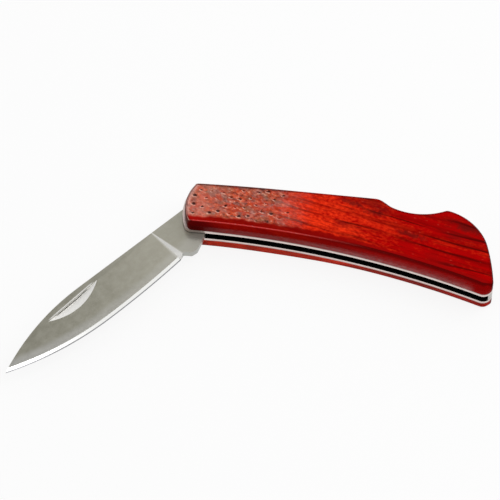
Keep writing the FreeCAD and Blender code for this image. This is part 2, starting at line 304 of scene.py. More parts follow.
# Liners: painted shade along the wood, more on the near one, and painted black shadow inside the slot
WOOD_EDGE_SHADE_TONE = (0.16, 0.035, 0.03, 1)
WOOD_EDGE_SHADE_WIDTH = 0.6 * MM
WOOD_EDGE_SHADE_SHARE = (0.75, 0.45)
WOOD_EDGE_SHADE_START = (-5 * MM, 3 * MM)
SLOT_SHADOW_TONE = (0.012, 0.011, 0.010, 1)
SLOT_SHADE = 0.28 * MM
SLOT_SKIN = 0.03 * MM
BELLY_SIDE = -3 * MM
BELLY_SIDE_SLOPE = -0.06

# Leaf spring
LEAF_LENGTHS = 28

# View
VIEW_TURN = math.radians(6.35)
VIEW_RISE = math.radians(60)
VIEW_DISTANCE = 1.2
LOOK_AT = Vector((12.06, -13.08, 6.62)) * MM
LENS = 270.4
SENSOR = 36

# Floor: share of plain white that is seen, while the rest shows the shadow
FLOOR_HALF = 4.0
FLOOR_GAP = 0.02 * MM
FLOOR_WHITE = 0.88

# Studio: brightness overhead and at the sides, and a dark card in front
SKY_RISE = (0.8, 0.6)
SKY_LEVEL = (0.36, 0.95)
CARD_FRONT = (-0.2, -0.42)
CARD_SIDE = (-0.34, -0.2)
CARD_LEVEL = 0.1

# Soft boxes: name, spot that they face, way to them, distance, width, depth and glow
BLADE_SPOT = (-30 * MM, -35 * MM, 7 * MM)
FRONT_SPOT = (8 * MM, -2 * MM, 13 * MM)
SOFT_BOXES = (
    ("key", BLADE_SPOT, (0.36, 0.05, 0.93), 0.7, 0.42, 0.3, 1.7),
    ("fill", FRONT_SPOT, (0.7, 0.2, 0.68), 0.75, 0.5, 0.4, 2.6),
    ("glance", FRONT_SPOT, (-0.055, 0.497, 0.866), 0.25, 0.06, 0.05, 3.2),
    ("ridge", FRONT_SPOT, (-0.05, -0.15, 0.98), 0.35, 0.055, 0.05, 5.0),
    ("left", BLADE_SPOT, (-0.66, -0.16, 0.74), 0.6, 0.25, 0.2, 0.9),
)


# Node helpers

def feed(tree, node, feeds):
    """Sets a node's inputs to values, or links them to sockets or other nodes."""
    for socket, source in feeds.items():
        if isinstance(source, bpy.types.Node):
            source = source.outputs[0]
        if isinstance(source, bpy.types.NodeSocket):
            tree.links.new(source, node.inputs[socket])
        else:
            node.inputs[socket].default_value = source


def put(tree, kind, feeds=None, **settings):
    """Adds a node, sets its options and feeds its inputs."""
    made = tree.nodes.new(kind)
    for option, value in settings.items():
        setattr(made, option, value)
    feed(tree, made, feeds or {})
    return made


def calc(tree, operation, a, b=0.0, c=0.0):
    return put(tree, "ShaderNodeMath", {0: a, 1: b, 2: c}, operation=operation)


def times(tree, *values):
    """Product of all the values."""
    product = values[0]
    for value in values[1:]:
        product = calc(tree, "MULTIPLY", product, value)
    return product


def apart(tree, a, b):
    """Distance between two values."""
    return calc(tree, "ABSOLUTE", calc(tree, "SUBTRACT", a, b))


def span(tree, value, low, high, to_low=0.0, to_high=1.0):
    """Maps a range of values to another with soft ends."""
    feeds = {"Value": value, 1: low, 2: high, 3: to_low, 4: to_high}
    return put(tree, "ShaderNodeMapRange", feeds, interpolation_type="SMOOTHSTEP")


def blend_value(tree, share, a, b):
    return put(tree, "ShaderNodeMix", {0: share, 2: a, 3: b}).outputs[0]


def blend_colour(tree, share, a, b):
    return put(tree, "ShaderNodeMix", {0: share, 6: a, 7: b}, data_type="RGBA").outputs[2]


def axes(tree, place):
    return put(tree, "ShaderNodeSeparateXYZ", {0: place}).outputs


def vector(tree, operation, a, b):
    return put(tree, "ShaderNodeVectorMath", {0: a, 1: b}, operation=operation)


def scaled(tree, a, factor):
    return put(tree, "ShaderNodeVectorMath", {0: a, "Scale": factor}, operation="SCALE")


def length(tree, a):
    return put(tree, "ShaderNodeVectorMath", {0: a}, operation="LENGTH").outputs["Value"]


def new_material(name):
    material = bpy.data.materials.new(name)
    material.use_nodes = True
    tree = material.node_tree
    return material, tree, tree.nodes["Principled BSDF"]


def own_place(tree, turn=0.0, stretch=(1, 1, 1)):
    """The piece's own coordinates, turned about Z and stretched."""
    place = put(tree, "ShaderNodeTexCoord").outputs["Object"]
    turned = put(tree, "ShaderNodeMapping", {"Vector": place, "Rotation": (0, 0, turn)})
    return put(tree, "ShaderNodeMapping", {"Vector": turned, "Scale": stretch})


def cloud(tree, place, scale, detail, roughness):
    feeds = {"Vector": place, "Scale": scale, "Detail": detail, "Roughness": roughness}
    return put(tree, "ShaderNodeTexNoise", feeds)


def dent(tree, shader, height, depth, strength):
    feeds = {"Height": height, "Distance": depth, "Strength": strength}
    feed(tree, shader, {"Normal": put(tree, "ShaderNodeBump", feeds)})


# Wood of the scales

def grain(tree, name, detail=3.0, roughness=0.55):
    """Pattern drawn out along the grain."""
    along, across = GRAIN_WAVES[name]
    return cloud(tree, own_place(tree, GRAIN_TURN, (along, across, across)), 1.0, detail, roughness)


def mark(tree, name):
    """Mark that the scale's mesh carries."""
    return put(tree, "ShaderNodeAttribute", attribute_name=name).outputs["Fac"]


# Blends a wood tone over the colour: real grain, smudges and streaks, and also the painted light and
# painted shade below
def stain_and_painted_light(tree, colour, share, tone):
    return blend_colour(tree, share, colour, WOOD_TONES[tone])


def smudge_share(tree, plain):
    """Faint smudges all over, and the larger ones at their places."""
    share = span(tree, grain(tree, "smudge"), 0.53, 0.68, 0.0, 0.5)
    ragged = calc(tree, "MULTIPLY_ADD", cloud(tree, plain, RAGGED_WAVES, 3.0, 0.6), 1.8, -0.9)
    for smudge_x, smudge_y, half_length, half_width in SMUDGES:
        off = vector(tree, "SUBTRACT", plain, (smudge_x, smudge_y, 0))
        feeds = {"Vector": off, "Angle": GRAIN_TURN}
        off = put(tree, "ShaderNodeVectorRotate", feeds, rotation_type="Z_AXIS")
        away = length(tree, vector(tree, "MULTIPLY", off, (1 / half_length, 1 / half_width, 0)))
        spot = span(tree, calc(tree, "ADD", away, ragged), 1.1, 0.2, 0.0, 0.7)
        share = calc(tree, "MAXIMUM", share, spot)
    return share


def streak_share(tree):
    """Thin dark lines along the grain, broken by gaps."""
    wave = put(tree, "ShaderNodeTexWave", {
        "Vector": own_place(tree, GRAIN_TURN, (0.16, 1, 1)), "Scale": 82.0, "Distortion": 5.0,
        "Detail": 3.0, "Detail Scale": 1.1, "Detail Roughness": 0.55,
    }, wave_type="BANDS", bands_direction="Y", wave_profile="SIN").outputs["Fac"]
    gaps = grain(tree, "gaps", 2.0, 0.5)
    return times(tree, span(tree, wave, 0.84, 1.0), span(tree, gaps, 0.34, 0.58), 0.8)


def grain_colour(tree, plain, x, patch, fibre):
    """Plain lacquered wood, bright in the middle of the handle and darker to the butt."""
    glow = span(tree, x, *GLOW_FADE)
    tone = calc(tree, "MULTIPLY_ADD", grain(tree, "band", 4.0), 1.3, times(tree, patch, 0.8))
    tone = calc(tree, "ADD", tone, calc(tree, "MULTIPLY_ADD", glow, 0.58, -1.1))
    sparkle = calc(tree, "MULTIPLY_ADD", glow, 1.5, 0.9)
    grit = calc(tree, "SUBTRACT", grain(tree, "grit", 3.0, 0.6), 0.5)
    tone = calc(tree, "MULTIPLY_ADD", grit, sparkle, tone)
    tone = calc(tree, "MINIMUM", calc(tree, "MAXIMUM", tone, 0.0), 1.0)
    colour = blend_colour(tree, tone, WOOD_TONES["deep"], WOOD_TONES["bright"])
    colour = stain_and_painted_light(tree, colour, span(tree, fibre, 0.48, 0.7, 0.0, 0.5), "fibre")
    growth = grain(tree, "growth", 3.0, 0.5)
    colour = stain_and_painted_light(tree, colour, span(tree, growth, 0.46, 0.62, 0.0, 0.5), "growth line")
    colour = stain_and_painted_light(tree, colour, smudge_share(tree, plain), "smudge")
    colour = stain_and_painted_light(tree, colour, streak_share(tree), "streak")
    # painted highlight: sparse pale pores catching light
    pores = grain(tree, "pores", 2.0, 0.5)
    return stain_and_painted_light(tree, colour, span(tree, pores, 0.68, 0.8, 0.0, 0.2), "pore_glint")


def belly_colour(tree, colour, x):
    """Painted shade on the belly side of the near scale, and painted light on the belly edge of the far
    one.
    """
    front, dark = WOOD_TONES["front belly shade"], WOOD_TONES["belly shade"]
    belly_shade = blend_colour(tree, span(tree, x, *FRONT_BELLY_SHADE), front, dark)
    belly_shade = stain_and_painted_light(tree, belly_shade, span(tree, x, *REAR_BELLY_SHADE), "rear belly shade")
    # painted shade over the near scale's belly band and wall
    colour = blend_colour(tree, times(tree, mark(tree, "shade"), 0.9), colour, belly_shade)
    # painted light brightening the far scale's belly edge
    return stain_and_painted_light(tree, colour, times(tree, mark(tree, "far_edge_light"), 0.42), "far edge light")


def worn_and_sheen_colour(tree, x, patch, film, speckle):
    """Worn lacquer of the stippled front with painted sheen: blotches, and painted glint and shade
    specks, over red and brown.
    """
    red, brown = WOOD_TONES["worn red"], WOOD_TONES["worn brown"]
    worn = blend_colour(tree, span(tree, film, 0.4, 0.64), red, brown)
    veil = grain(tree, "veil")
    blotches = (
        (veil, 0.51, 0.62, 0.85, "worn orange"),
        (veil, 0.47, 0.37, 0.8, "worn grey sheen"),
        (patch, 0.53, 0.66, 0.5, "worn pink sheen"),
        # painted shade and painted glints of the hammered face
        (speckle, 0.48, 0.34, 0.88, "shade speck"),
        (speckle, 0.54, 0.7, 0.8, "glint speck"),
        (x, *PALE_FRONT_SHEEN, 0.25, "pale front sheen"),
    )
    for pattern, low, high, most, tone in blotches:
        worn = stain_and_painted_light(tree, worn, span(tree, pattern, low, high, 0.0, most), tone)
    return worn


def make_wood():
    material, tree, shader = new_material("lacquered_red_wood")
    plain = own_place(tree)
    x = axes(tree, plain)[0]
    patch = cloud(tree, plain, PATCH_WAVES, 3.0, 0.55)
    fibre = grain(tree, "fibre", 3.0, 0.6)
    film = grain(tree, "film", 4.0, 0.6)
    speckle = grain(tree, "speckle", 3.0, 0.6)
    worn_and_sheen_share = mark(tree, "film")
    colour = grain_colour(tree, plain, x, patch, fibre)
    colour = belly_colour(tree, colour, x)
    worn = worn_and_sheen_colour(tree, x, patch, film, speckle)
    # worn lacquer of the stippled front, partly painted sheen
    colour = blend_colour(tree, times(tree, worn_and_sheen_share, 0.9), colour, worn)
    # painted highlight: pale pink glare along the front edge, broken by specks
    edge_glare_share = times(tree, mark(tree, "edge_glare"), span(tree, speckle, 0.34, 0.6, 0.35, 0.8))
    colour = stain_and_painted_light(tree, colour, edge_glare_share, "edge_glare")
    # painted highlight: pale crescent on the lower side of each pit
    colour = stain_and_painted_light(tree, colour, span(tree, mark(tree, "pit_glint"), 0.1, 0.8, 0.0, 0.65), "pit lip")
    # painted shade: the pits darkened towards black
    colour = stain_and_painted_light(tree, colour, span(tree, mark(tree, "pit"), 0.06, 0.42, 0.0, 0.93), "pit")
    # painted shade: dark lines along the rim, where the rear belly turns and at the front wall
    colour = stain_and_painted_light(tree, colour, times(tree, mark(tree, "rim"), 0.92), "rim shade line")
    # painted highlight: bright line along the belly ridge towards the front
    colour = stain_and_painted_light(tree, colour, times(tree, mark(tree, "ridge"), 0.9), "ridge")
    blotchy = times(tree, mark(tree, "polish"), span(tree, speckle, 0.32, 0.68, 0.6, 1.4))
    feed(tree, shader, {
        "Base Color": colour,
        "Roughness": calc(tree, "MULTIPLY_ADD", film, 0.2, 0.26),
        "Coat Weight": calc(tree, "MAXIMUM", times(tree, worn_and_sheen_share, 0.36), blotchy),
        "Coat Roughness": 0.13,
        "IOR": 1.46,
        "Specular IOR Level": 0.01,
    })
    dent(tree, shader, fibre, FIBRE_DEPTH, 0.35)
    return material


# Steel of the blade

def shine(tree, colour, share, tone):
    return blend_colour(tree, share, colour, BLADE_TONES[tone])


def edge_inset(tree, x, y):
    """Distance in from the cutting edge, which is one arc to the tip and another to the heel."""
    flat = put(tree, "ShaderNodeCombineXYZ", {0: x, 1: y})

    def inset_from(end):
        across = end[0] - EDGE_LOW[0]
        rise = end[1] - EDGE_LOW[1]
        radius = (across ** 2 + rise ** 2) / (2 * rise)
        centre = (EDGE_LOW[0], EDGE_LOW[1] + radius, 0)
        return calc(tree, "SUBTRACT", radius, vector(tree, "DISTANCE", flat, centre).outputs["Value"])

    towards_heel = calc(tree, "GREATER_THAN", x, EDGE_LOW[0])
    return blend_value(tree, towards_heel, inset_from(TIP), inset_from(HEEL))


def face_rise(tree):
    """How far a face of the blade looks straight up or down, from 0 for a wall to 1 for a flat."""
    normal = put(tree, "ShaderNodeNewGeometry").outputs["True Normal"]
    own_normal = put(tree, "ShaderNodeVectorTransform", {0: normal}, vector_type="NORMAL",
                     convert_from="WORLD", convert_to="OBJECT")
    return calc(tree, "ABSOLUTE", axes(tree, own_normal)[2])


def plunge_share(tree, x, y):
    """Light caught where the grind runs out in front of the ricasso, wider towards the edge."""
    height = PLUNGE_HIGH[1] - PLUNGE_LOW[1]
    rise = calc(tree, "DIVIDE", calc(tree, "SUBTRACT", y, PLUNGE_LOW[1]), height)
    line = calc(tree, "MULTIPLY_ADD", rise, PLUNGE_HIGH[0] - PLUNGE_LOW[0], PLUNGE_LOW[0])
    reach = calc(tree, "MULTIPLY_ADD", rise, PLUNGE_GLOW[1] - PLUNGE_GLOW[0], PLUNGE_GLOW[0])
    ahead = calc(tree, "DIVIDE", calc(tree, "SUBTRACT", line, x), reach)
    return times(tree, span(tree, ahead, 1.0, 0.3), span(tree, ahead, -0.25, 0.05), 0.75)


def dull_colour(tree, x, y, inset, mottle, brush):
    """Satin flat of the blade, with a painted highlight along the edge and painted light towards the
    pivot and at the plunge.
    """
    colour = blend_colour(tree, mottle, BLADE_TONES["dull dark"], BLADE_TONES["dull pale"])
    colour = shine(tree, colour, times(tree, brush, 0.25), "brushed")
    # painted light towards the pivot
    colour = shine(tree, colour, span(tree, x, *PIVOT_LIGHT_FADE, 0.0, 0.3), "near pivot light")
    tipward = span(tree, x, HEEL[0], TIP[0], 0.16, 0.42)
    # painted highlight: band along the lower grind, stronger towards the tip
    colour = shine(tree, colour, times(tree, span(tree, inset, *HIGHLIGHT_BAND), tipward), "highlight band")
    return shine(tree, colour, plunge_share(tree, x, y), "plunge")


def make_blade_steel():
    material, tree, shader = new_material("ground_blade_steel")
    x, y, _ = axes(tree, own_place(tree, -BLADE_TURN))
    inset = edge_inset(tree, x, y)
    rise = face_rise(tree)
    tilted = calc(tree, "LESS_THAN", rise, TILTED_FACE)
    steep = calc(tree, "LESS_THAN", rise, STEEP_FACE)
    wall = calc(tree, "LESS_THAN", rise, WALL_FACE)
    mottle = cloud(tree, own_place(tree, -BLADE_TURN, MOTTLE_WAVES), 1.0, 6.0, 0.66)
    brush = cloud(tree, own_place(tree, -BLADE_TURN, BRUSH_WAVES), 1.0, 3.0, 0.6)

    from_middle = calc(tree, "SUBTRACT", x, NICK_MIDDLE[0])
    nick_line = calc(tree, "MULTIPLY_ADD", from_middle, NICK_SLOPE, NICK_MIDDLE[1])
    above_nick = calc(tree, "SUBTRACT", y, nick_line)
    off_nick = calc(tree, "ABSOLUTE", above_nick)
    along_nick = calc(tree, "ABSOLUTE", from_middle)
    glint = times(tree, span(tree, above_nick, *GLINT_LOW), span(tree, above_nick, *GLINT_HIGH),
                  span(tree, along_nick, NICK_REACH, 0.8 * NICK_REACH), 0.8)
    # painted shade: dark line in the crease along the nick
    crease_shade = times(tree, span(tree, off_nick, *CREASE_SHADE_WIDTH), calc(tree, "SUBTRACT", tilted, steep),
                   span(tree, along_nick, 0.8 * NICK_REACH, 0.5 * NICK_REACH))
    nick_wall = times(tree, calc(tree, "LESS_THAN", off_nick, NICK_WALL), wall)
    nick_floor = times(tree, tilted, calc(tree, "GREATER_THAN", inset, NICK_EDGE_GAP))

    bevel_tip, bevel_rest = BLADE_TONES["bevel at tip"], BLADE_TONES["bevel"]
    bevel = blend_colour(tree, span(tree, x, *BEVEL_FADE), bevel_tip, bevel_rest)
    before_heel = calc(tree, "LESS_THAN", x, HEEL[0] + HEEL_MARGIN)
    keen = times(tree, span(tree, inset, *KEEN_WIDTH), before_heel)

    colour = dull_colour(tree, x, y, inset, mottle, brush)
    colour = shine(tree, colour, glint, "glint")
    colour = blend_colour(tree, tilted, colour, bevel)
    # painted highlight: the nick's floor and its upright wall painted near white
    colour = shine(tree, colour, nick_floor, "nick floor highlight")
    colour = shine(tree, colour, steep, "steep")
    colour = shine(tree, colour, wall, "wall")
    colour = shine(tree, colour, nick_wall, "nick wall highlight")
    colour = shine(tree, colour, crease_shade, "crease_shade")
    colour = shine(tree, colour, keen, "keen")

    satin = calc(tree, "MULTIPLY_ADD", mottle, SATIN_SPREAD, SATIN_ROUGHNESS)
    rough = blend_value(tree, tilted, satin, BEVEL_ROUGHNESS)
    rough = blend_value(tree, steep, rough, STEEP_ROUGHNESS)
    rough = blend_value(tree, nick_floor, rough, NICK_ROUGHNESS)
    feed(tree, shader, {"Base Color": colour, "Roughness": rough, "Metallic": 1.0})
    dent(tree, shader, brush, MARK_DEPTH, 0.5)
    return material


# Other metals

def metal_look(tree, pale, dark, roughness, waves):
    """Drawn or turned marks of a metal with its colour and roughness."""
    marks = cloud(tree, own_place(tree, 0.0, waves), 1.0, 4.0, 0.6)
    wear = cloud(tree, own_place(tree), WEAR_WAVES, 4.0, 0.6)
    colour = blend_colour(tree, marks, dark, pale)
    colour = blend_colour(tree, span(tree, wear, 0.5, 0.75, 0.0, 0.3), colour, dark)
    return marks, colour, calc(tree, "MULTIPLY_ADD", wear, 0.18, roughness)


def finish_metal(tree, shader, marks, colour, rough):
    feed(tree, shader, {"Base Color": colour, "Roughness": rough, "Metallic": 1.0})
    dent(tree, shader, marks, MARK_DEPTH, 0.4)


def make_metal(name, look):
    material, tree, shader = new_material(name)
    finish_metal(tree, shader, *metal_look(tree, *look))
    return material


def make_liner_steel(wood_levels, slot_low, slot_high):
    """Polished steel with painted shade along the wood and painted shadow, black, inside the slot, on the
    belly side.
    """
    material, tree, shader = new_material("polished_liner_steel")
    marks, colour, rough = metal_look(tree, *LINER_STEEL)
    x, y, z = axes(tree, own_place(tree))
    belly_line = calc(tree, "MULTIPLY_ADD", x, BELLY_SIDE_SLOPE, BELLY_SIDE)
    belly_side = calc(tree, "LESS_THAN", y, belly_line)
    behind_front = times(tree, belly_side, span(tree, x, *WOOD_EDGE_SHADE_START))
    # painted shade on the liner edges next to the wood, on the belly side behind the front
    for level, share in zip(wood_levels, WOOD_EDGE_SHADE_SHARE):
        gap = apart(tree, z, level)
        lacquer = span(tree, gap, WOOD_EDGE_SHADE_WIDTH, 0.3 * WOOD_EDGE_SHADE_WIDTH, 0.0, share)
        colour = blend_colour(tree, times(tree, lacquer, behind_front), colour, WOOD_EDGE_SHADE_TONE)
    # painted shadow: the inside of the slot painted black on the belly side
    over = calc(tree, "GREATER_THAN", z, slot_low - SLOT_SHADE)
    under = calc(tree, "LESS_THAN", z, slot_high + SLOT_SKIN)
    inside = times(tree, over, under, belly_side)
    colour = blend_colour(tree, inside, colour, SLOT_SHADOW_TONE)
    rough = calc(tree, "MAXIMUM", rough, times(tree, inside, 0.6))
    finish_metal(tree, shader, marks, colour, rough)
    return material


# Outline of a scale

def outline_of(node, level):
    """Corner points of a node's outline at one level, anticlockwise."""
    mesh = bmesh.new()
    mesh.from_mesh(nodes[node].data)
    bmesh.ops.remove_doubles(mesh, verts=mesh.verts, dist=TOUCH)
    after = {}
    for edge in mesh.edges:
        if all(abs(v.co.z - level) < TOUCH for v in edge.verts):
            if any(abs(face.normal.z) < UPRIGHT for face in edge.link_faces):
                a, b = edge.verts
                after.setdefault(a.index, []).append(b)
                after.setdefault(b.index, []).append(a)
    mesh.verts.ensure_lookup_table()
    first = mesh.verts[next(iter(after))]
    loop = [first]
    while True:
        ways = [v for v in after[loop[-1].index] if len(loop) < 2 or v is not loop[-2]]
        if ways[0] is first:
            break
        loop.append(ways[0])
    points = np.array([v.co[:2] for v in loop])
    mesh.free()
    x, y = points.T
    if np.sum(x * np.roll(y, -1) - y * np.roll(x, -1)) < 0:
        points = points[::-1]
    return points


def crisp_corner(points):
    """Draws the top front corner tighter: its two sides meet in a curve pulled towards their crossing."""
    middle = int(np.argmax(points[:, 1] - points[:, 0]))
    points = np.roll(points, len(points) // 2 - middle, 0)
    middle = len(points) // 2
    near = np.flatnonzero(np.linalg.norm(points - points[middle], axis=1) < CORNER_REACH)
    first, last = near[0], near[-1]
    a, b = points[first], points[last]
    way_a = a - points[first - 1]
    way_b = b - points[last + 1]
    share = np.linalg.solve(np.stack([way_a, -way_b], 1), b - a)
    crossing = a + share[0] * way_a
    t = np.linspace(0, 1, CORNER_POINTS)[:, None]
    pull = 2 * CORNER_PULL * t * (1 - t)
    curve = ((1 - t) ** 2 * a + pull * crossing + t ** 2 * b) / ((1 - t) ** 2 + pull + t ** 2)
    return np.concatenate([points[:first], curve, points[last + 1:]])


def fine_outline(points, parts=24):
    """Smooth curve through the corner points, as close points."""
    after = np.roll(points, -1, 0)
    heading = after - np.roll(points, 1, 0)
    heading /= np.linalg.norm(heading, axis=1)[:, None]
    stride = np.linalg.norm(after - points, axis=1)[:, None]
    start = heading * stride
    end = np.roll(heading, -1, 0) * stride
    t = np.linspace(0, 1, parts, endpoint=False)[:, None, None]
    curve = (points * (2 * t ** 3 - 3 * t ** 2 + 1) + start * (t ** 3 - 2 * t ** 2 + t)
             + after * (3 * t ** 2 - 2 * t ** 3) + end * (t ** 3 - t ** 2))
    return curve.transpose(1, 0, 2).reshape(-1, 2)


def side(curve, first, last, shares, lengthwise):
    """Points at shares of the way from one corner to the next, as X goes or as the curve goes."""
    count = len(curve)
    steps = (last - first) % count
    run = curve[(first + np.arange(steps + 1)) % count]
    stride = np.diff(run, axis=0)
    stride = np.abs(stride[:, 0]) if lengthwise else np.linalg.norm(stride, axis=1)
    travel = np.concatenate([[0], np.cumsum(stride)])
    at = np.asarray(shares) * travel[-1]
    return np.stack([np.interp(at, travel, run[:, k]) for k in range(2)], 1)


def scale_rim(curve):
    """The outline as four sides that face each other in pairs, with inward normals."""
    x, y = curve.T
    corner = {
        "low_front": int(np.argmax(-x - y)),
        "low_butt": int(np.argmax(x - y)),
        "top_butt": int(np.argmax(x + y * BUTT_LEAN)),
        "top_front": int(np.argmax(y - x)),
    }
    whole = np.ptp(x)
    fine_part = STIPPLE_END + STIPPLE_FADE - x.min()
    fine = np.arange(0, fine_part, FINE_STEP)
    coarse = np.linspace(fine_part, whole, int((whole - fine_part) / COARSE_STEP))
    columns = np.concatenate([fine, coarse]) / whole
    rows = np.linspace(0, 1, ROWS)
    belly = side(curve, corner["low_front"], corner["low_butt"], columns, True)
    butt = side(curve, corner["low_butt"], corner["top_butt"], rows, False)
    spine = side(curve, corner["top_butt"], corner["top_front"], 1 - columns[::-1], True)
    front = side(curve, corner["top_front"], corner["low_front"], rows, False)
    ring = np.concatenate([belly[:-1], butt[:-1], spine[:-1], front[:-1]])
    ahead = np.roll(ring, -1, 0) - ring
    ahead /= np.linalg.norm(ahead, axis=1)[:, None]
    heading = ahead + np.roll(ahead, 1, 0)
    heading /= np.linalg.norm(heading, axis=1)[:, None]
    inward = np.stack([-heading[:, 1], heading[:, 0]], 1)
    return ring, inward, len(columns), len(rows)


# Surface of a scale

def soft_step(value, low, high):
    t = np.clip((value - low) / (high - low), 0, 1)
    return t * t * (3 - 2 * t)


def paired(pair, share):
    """Value that goes from the first of a pair to the second."""
    return pair[0] + (pair[1] - pair[0]) * share


def between_neighbours(ring):
    return 0.5 * np.roll(ring, 1, 0) + 0.5 * np.roll(ring, -1, 0)


def drawn_in(ring, inward, inset):
    """The ring moved inwards; where it would cross itself in a tight corner, its points close up."""
    moved = ring + inward * inset[:, None]
    ahead = np.roll(ring, -1, 0) - ring
    least = LEAST_STRIDE * np.sum(ahead ** 2, axis=1)
    closed_up = np.zeros(len(ring), bool)
    for _ in range(CLOSE_UP_ROUNDS):
        stride = np.roll(moved, -1, 0) - moved
        crossed = np.sum(stride * ahead, axis=1) < least
        if not crossed.any():
            break
        near = crossed | np.roll(crossed, 1) | np.roll(crossed, -1) | np.roll(crossed, 2)
        moved[near] = between_neighbours(moved)[near]
        closed_up |= near
    for _ in range(CORNER_ROUNDS):
        moved[closed_up] = between_neighbours(moved)[closed_up]
    return moved


def fill(ring, columns, rows):
    """Grid inside a ring of four sides: straight across, bent near the two ends to follow them."""
    belly = ring[:columns]
    butt = ring[columns - 1:columns + rows - 1]
    spine = ring[columns + rows - 2:2 * columns + rows - 2][::-1]
    front = np.concatenate([ring[2 * columns + rows - 3:], ring[:1]])[::-1]
    u = ((belly[:, 0] - belly[0, 0]) / np.ptp(belly[:, 0]))[:, None, None]
    v = np.linspace(0, 1, rows)[None, :, None]
    grid = (1 - v) * belly[:, None] + v * spine[:, None]
    grid += soft_step(u, END_BLEND, 0) * (front - (1 - v) * front[0] - v * front[-1])
    grid += soft_step(u, 1 - END_BLEND, 1) * (butt - (1 - v) * butt[0] - v * butt[-1])
    for _ in range(EVEN_ROUNDS):
        around = grid[2:, 1:-1] + grid[:-2, 1:-1] + grid[1:-1, 2:] + grid[1:-1, :-2]
        grid[1:-1, 1:-1] = around / 4
    return grid


def stipple_reach(x):
    return soft_step(x, STIPPLE_END + STIPPLE_FADE / 2, STIPPLE_END - STIPPLE_FADE)


def rim_rings(ring, inward, tall, belly_wall, gloss_and_shade):
    """Rings of a scale's rim from the foot up to the ridge: inset, height and the marks there."""
    x = ring[:, 0]
    belly = soft_step(inward[:, 1], *SIDE_TURN)
    spine = soft_step(-inward[:, 1], *SIDE_TURN)
    ends = 1 - belly - spine
    rear = soft_step(x, *BELLY_FADE)

    def by_side(belly_pair, spine_value, end_value):
        return belly * paired(belly_pair, rear) + spine * spine_value + ends * end_value

    inset = by_side(BELLY_INSET, SPINE_INSET, END_INSET)
    wall = by_side(belly_wall, SPINE_WALL, END_WALL)
    tilt = by_side(BELLY_TILT, SPINE_TILT, END_TILT)
    drop = by_side(BELLY_CROWN, 0, 0)
    top = tall - drop
    swell = wall + (RIM_SWELL + BELLY_SWELL * belly) * (top - wall)
    shy = inset - RIM_REACH * inset * np.cos(tilt)
    below = top - RIM_REACH * inset * np.sin(tilt)

    none = 0 * inset
    # where the painted highlight along the front edge lies
    front = ends * soft_step(x, STIPPLE_END, 0)
    # painted shade darkening the front of the belly wall
    front_wall_shade = FRONT_WALL_SHADE * gloss_and_shade * belly * soft_step(x, *FRONT_WALL_SHADE_FADE)
    polish = gloss_and_shade * belly * paired(WALL_POLISH, rear) * (1 - front_wall_shade) * soft_step(x, *GLOSS_END)
    all_over = {
        "stipple": none,
        "shade": gloss_and_shade * belly,
        "film": stipple_reach(x) * (spine + ends),
        # painted light on the far scale's belly edge
        "far_edge_light": (1 - gloss_and_shade) * belly * (1 - FAR_EDGE_LIGHT_LOSS * soft_step(x, *FAR_EDGE_LIGHT_FADE)),
    }
    # the foot: painted shade lines at the spine, ends and front of the belly wall
    foot = {"edge_glare": none, "rim": spine + ends + front_wall_shade, "polish": polish, "ridge": none}
    rings = [(none, none, {**all_over, **foot})]
    for t in RIM_STEPS:
        a, b, c, d = (1 - t) ** 3, 3 * t * (1 - t) ** 2, 3 * t * t * (1 - t), t ** 3
        # ridge: painted highlight line along the near scale's belly ridge towards the front, with some
        # coat
        edge = soft_step(t, *RIDGE_RISE)
        ridge = gloss_and_shade * edge * belly * (1 - rear)
        # painted shade line where the rear belly turns into its wall
        turn_shade = TURN_SHADE * gloss_and_shade * belly * rear * soft_step(t, *TURN_SHADE_RISE)
        # painted shade line along the spine and ends, fading up the rim
        rim_shade_line = (spine + ends) * (1 - soft_step(t, *RIM_SHADE_RISE))
        step = {
            # painted highlight along the front edge
            "edge_glare": front * soft_step(t, *EDGE_GLARE_RISE),
            "rim": rim_shade_line + turn_shade + front_wall_shade * (1 - edge),
            "polish": polish * (1 - t) ** 2 + RIDGE_POLISH * ridge,
            "ridge": ridge,
        }
        height = a * wall + b * swell + c * below + d * top
        rings.append((c * shy + d * inset, height, {**all_over, **step}))
    land_height = top + RIDGE_LAND * 2 * drop / CROWN_WIDTH
    return rings, land_height, belly, rear


def gap_to(grid, edge):
    return np.linalg.norm(grid - edge, axis=2)


